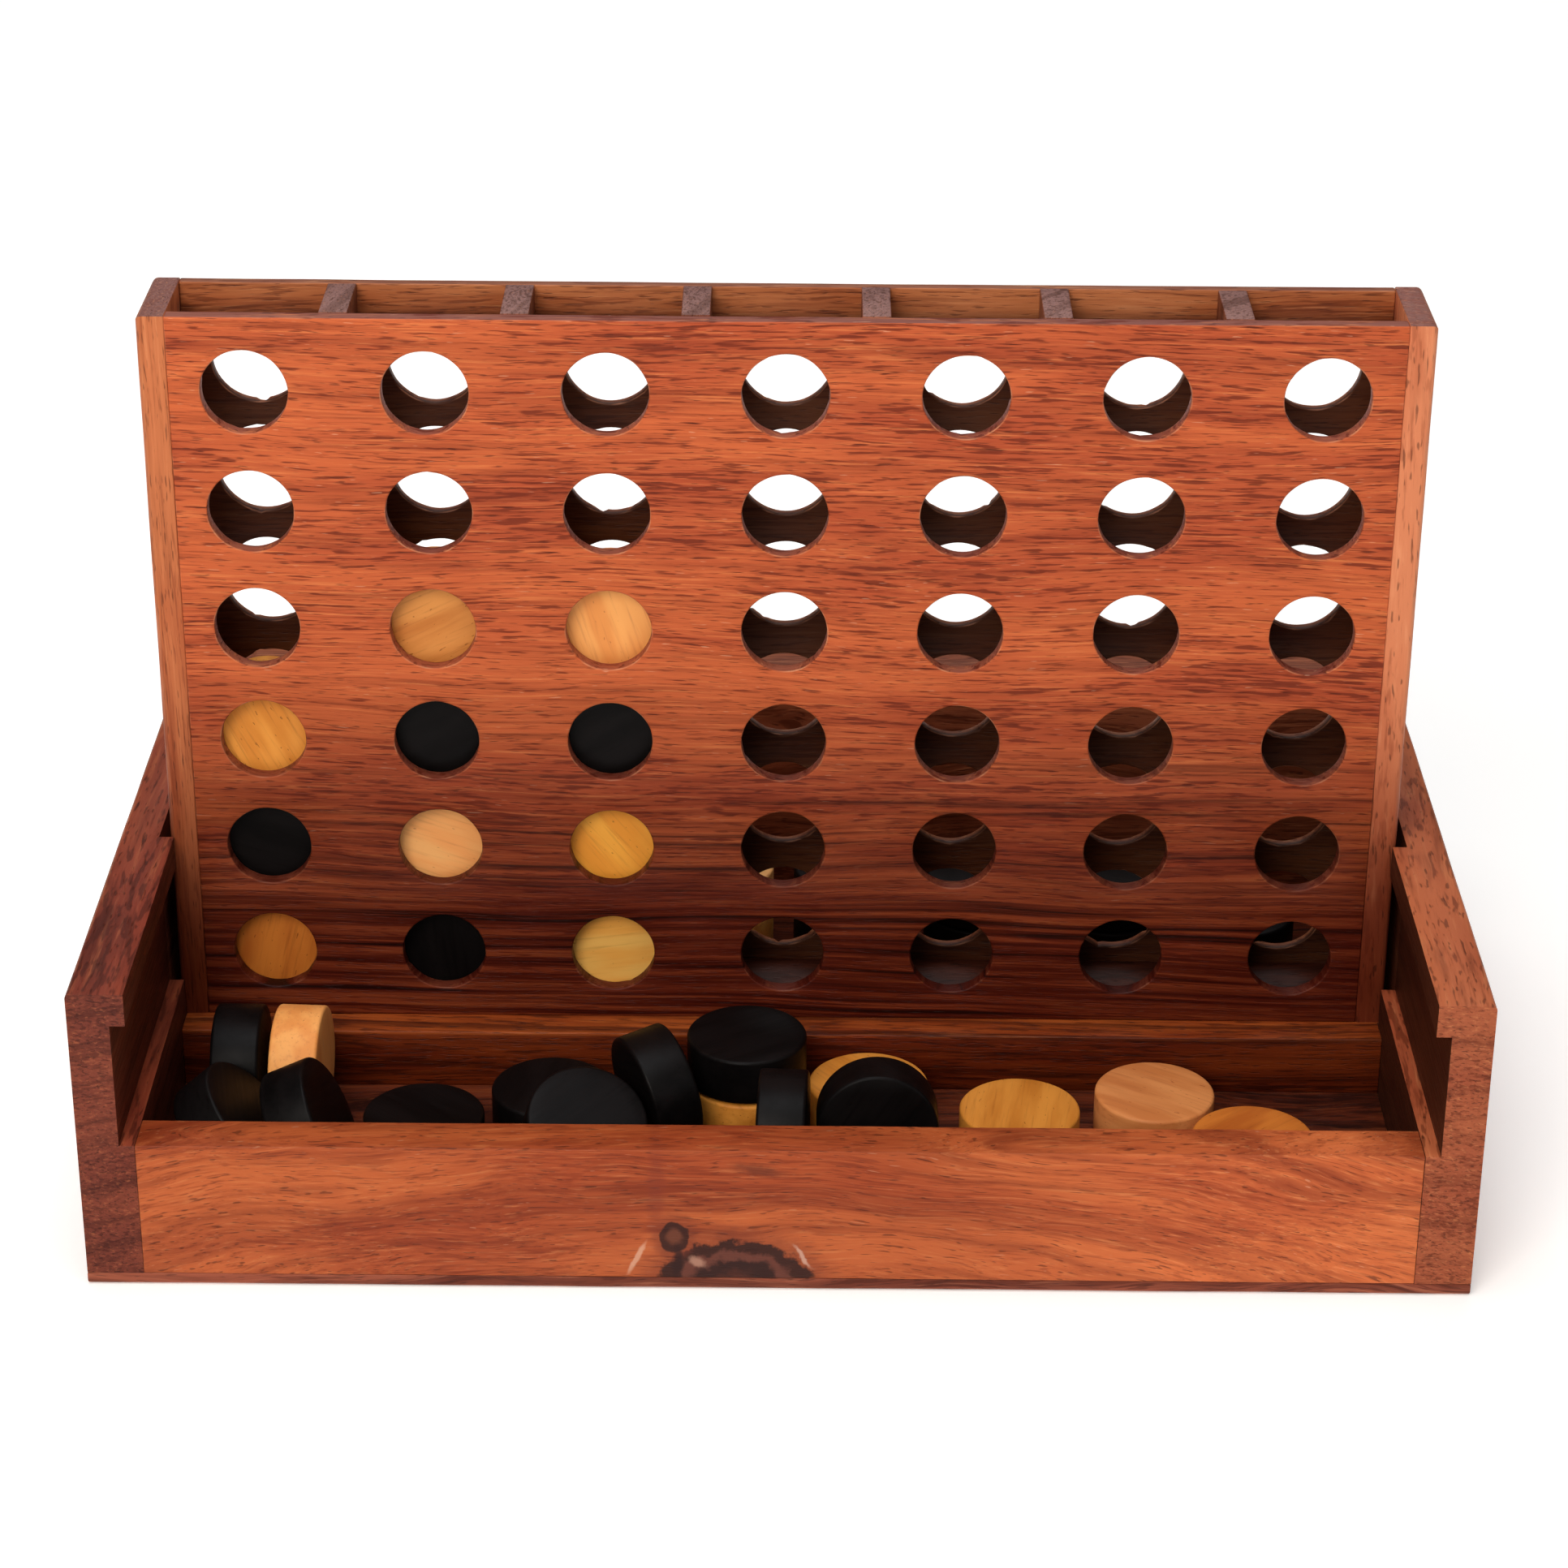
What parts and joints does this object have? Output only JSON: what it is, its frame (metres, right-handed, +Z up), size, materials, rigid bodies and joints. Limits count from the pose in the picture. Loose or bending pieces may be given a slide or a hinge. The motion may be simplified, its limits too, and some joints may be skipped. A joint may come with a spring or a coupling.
{
  "type": "four in a row frame",
  "caption": "Wooden four in a row set: upright frame with sight holes and open-topped columns, standing in its grooved storage box with loose round discs.",
  "frame": {"origin": "on the underside, at the middle of the storage box", "axes": "+X along the frame's width, +Y from the open tray at the front to the back wall, +Z up"},
  "size_m": [0.3182, 0.193, 0.207],
  "materials": {
    "red_rosewood": "oiled, fine dark streaks",
    "pale_rosewood": "oiled, straight grain",
    "brown_rosewood": "oiled, dark streaks",
    "dark_rosewood": "oiled, striped",
    "figured_rosewood": "oiled, figured with a knot",
    "base_rosewood": "oiled",
    "ebonised_disc": "black stain, satin",
    "natural_disc": "clear satin lacquer"
  },
  "bodies": {
    "storage_box": {"base_board": "base_rosewood", "floor_board": "dark_rosewood", "front_wall": "figured_rosewood", "back_wall": "brown_rosewood", "left_side": "brown_rosewood", "right_side": "brown_rosewood", "rest_bar": "dark_rosewood"},
    "play_frame": {"front_panel": "red_rosewood", "back_panel": "red_rosewood", "left_rail": "pale_rosewood", "right_rail": "pale_rosewood", "bottom_strip": "brown_rosewood", "column_divider_1": "brown_rosewood", "column_divider_2": "brown_rosewood", "column_divider_3": "brown_rosewood", "column_divider_4": "brown_rosewood", "column_divider_5": "brown_rosewood", "column_divider_6": "brown_rosewood"},
    "column_1_discs": {"natural_disc_1": "natural_disc", "black_disc_1": "ebonised_disc", "natural_disc_2": "natural_disc"},
    "column_2_discs": {"black_disc_2": "ebonised_disc", "natural_disc_3": "natural_disc", "black_disc_3": "ebonised_disc", "natural_disc_4": "natural_disc"},
    "column_3_discs": {"natural_disc_5": "natural_disc", "natural_disc_6": "natural_disc", "black_disc_4": "ebonised_disc", "natural_disc_7": "natural_disc"},
    "black_disc_5": {"black_disc_5": "ebonised_disc"},
    "natural_disc_8": {"natural_disc_8": "natural_disc"},
    "black_disc_6": {"black_disc_6": "ebonised_disc"},
    "black_disc_7": {"black_disc_7": "ebonised_disc"},
    "black_disc_8": {"black_disc_8": "ebonised_disc"},
    "black_disc_9": {"black_disc_9": "ebonised_disc"},
    "black_disc_10": {"black_disc_10": "ebonised_disc"},
    "black_disc_11": {"black_disc_11": "ebonised_disc"},
    "natural_disc_9": {"natural_disc_9": "natural_disc"},
    "black_disc_12": {"black_disc_12": "ebonised_disc"},
    "black_disc_13": {"black_disc_13": "ebonised_disc"},
    "natural_disc_10": {"natural_disc_10": "natural_disc"},
    "black_disc_14": {"black_disc_14": "ebonised_disc"},
    "natural_disc_11": {"natural_disc_11": "natural_disc"},
    "natural_disc_12": {"natural_disc_12": "natural_disc"},
    "natural_disc_13": {"natural_disc_13": "natural_disc"},
    "rear_stack_1": {"natural_disc_14": "natural_disc", "natural_disc_15": "natural_disc"},
    "rear_stack_2": {"natural_disc_16": "natural_disc", "natural_disc_17": "natural_disc"},
    "rear_stack_3": {"natural_disc_18": "natural_disc", "natural_disc_19": "natural_disc"},
    "rear_stack_4": {"natural_disc_20": "natural_disc", "natural_disc_21": "natural_disc"},
    "rear_stack_5": {"black_disc_15": "ebonised_disc", "black_disc_16": "ebonised_disc"},
    "rear_stack_6": {"black_disc_17": "ebonised_disc", "black_disc_18": "ebonised_disc"},
    "rear_stack_7": {"black_disc_19": "ebonised_disc", "black_disc_20": "ebonised_disc"},
    "rear_stack_8": {"black_disc_21": "ebonised_disc"}
  },
  "joints": [
    {"name": "frame_lift", "type": "slide", "parent": "storage_box", "child": "play_frame", "axis": [0, 0, 1], "range_m": [0, 0.06]},
    {"name": "column_1_discs_lift", "type": "slide", "parent": "play_frame", "child": "column_1_discs", "axis": [0, 0, 1], "range_m": [0, 0.18]},
    {"name": "column_2_discs_lift", "type": "slide", "parent": "play_frame", "child": "column_2_discs", "axis": [0, 0, 1], "range_m": [0, 0.18]},
    {"name": "column_3_discs_lift", "type": "slide", "parent": "play_frame", "child": "column_3_discs", "axis": [0, 0, 1], "range_m": [0, 0.18]},
    {"name": "black_disc_5_lift", "type": "slide", "parent": "storage_box", "child": "black_disc_5", "axis": [0, 0, 1], "range_m": [0, 0.07]},
    {"name": "natural_disc_8_lift", "type": "slide", "parent": "storage_box", "child": "natural_disc_8", "axis": [0, 0, 1], "range_m": [0, 0.07]},
    {"name": "black_disc_6_lift", "type": "slide", "parent": "storage_box", "child": "black_disc_6", "axis": [0, 0, 1], "range_m": [0, 0.07]},
    {"name": "black_disc_7_lift", "type": "slide", "parent": "black_disc_6", "child": "black_disc_7", "axis": [0, 0, 1], "range_m": [0, 0.07]},
    {"name": "black_disc_8_lift", "type": "slide", "parent": "storage_box", "child": "black_disc_8", "axis": [0, 0, 1], "range_m": [0, 0.07]},
    {"name": "black_disc_9_lift", "type": "slide", "parent": "storage_box", "child": "black_disc_9", "axis": [0, 0, 1], "range_m": [0, 0.07]},
    {"name": "black_disc_10_lift", "type": "slide", "parent": "black_disc_9", "child": "black_disc_10", "axis": [0, 0, 1], "range_m": [0, 0.07]},
    {"name": "black_disc_11_lift", "type": "slide", "parent": "black_disc_9", "child": "black_disc_11", "axis": [0, 0, 1], "range_m": [0, 0.07]},
    {"name": "natural_disc_9_lift", "type": "slide", "parent": "storage_box", "child": "natural_disc_9", "axis": [0, 0, 1], "range_m": [0, 0.07]},
    {"name": "black_disc_12_lift", "type": "slide", "parent": "natural_disc_9", "child": "black_disc_12", "axis": [0, 0, 1], "range_m": [0, 0.07]},
    {"name": "black_disc_13_lift", "type": "slide", "parent": "storage_box", "child": "black_disc_13", "axis": [0, 0, 1], "range_m": [0, 0.07]},
    {"name": "natural_disc_10_lift", "type": "slide", "parent": "storage_box", "child": "natural_disc_10", "axis": [0, 0, 1], "range_m": [0, 0.07]},
    {"name": "black_disc_14_lift", "type": "slide", "parent": "storage_box", "child": "black_disc_14", "axis": [0, 0, 1], "range_m": [0, 0.07]},
    {"name": "natural_disc_11_lift", "type": "slide", "parent": "storage_box", "child": "natural_disc_11", "axis": [0, 0, 1], "range_m": [0, 0.07]},
    {"name": "natural_disc_12_lift", "type": "slide", "parent": "storage_box", "child": "natural_disc_12", "axis": [0, 0, 1], "range_m": [0, 0.07]},
    {"name": "natural_disc_13_lift", "type": "slide", "parent": "storage_box", "child": "natural_disc_13", "axis": [0, 0, 1], "range_m": [0, 0.07]},
    {"name": "rear_stack_1_lift", "type": "slide", "parent": "storage_box", "child": "rear_stack_1", "axis": [0, 0, 1], "range_m": [0, 0.07]},
    {"name": "rear_stack_2_lift", "type": "slide", "parent": "storage_box", "child": "rear_stack_2", "axis": [0, 0, 1], "range_m": [0, 0.07]},
    {"name": "rear_stack_3_lift", "type": "slide", "parent": "storage_box", "child": "rear_stack_3", "axis": [0, 0, 1], "range_m": [0, 0.07]},
    {"name": "rear_stack_4_lift", "type": "slide", "parent": "storage_box", "child": "rear_stack_4", "axis": [0, 0, 1], "range_m": [0, 0.07]},
    {"name": "rear_stack_5_lift", "type": "slide", "parent": "storage_box", "child": "rear_stack_5", "axis": [0, 0, 1], "range_m": [0, 0.07]},
    {"name": "rear_stack_6_lift", "type": "slide", "parent": "storage_box", "child": "rear_stack_6", "axis": [0, 0, 1], "range_m": [0, 0.07]},
    {"name": "rear_stack_7_lift", "type": "slide", "parent": "storage_box", "child": "rear_stack_7", "axis": [0, 0, 1], "range_m": [0, 0.07]},
    {"name": "rear_stack_8_lift", "type": "slide", "parent": "storage_box", "child": "rear_stack_8", "axis": [0, 0, 1], "range_m": [0, 0.07]}
  ]
}
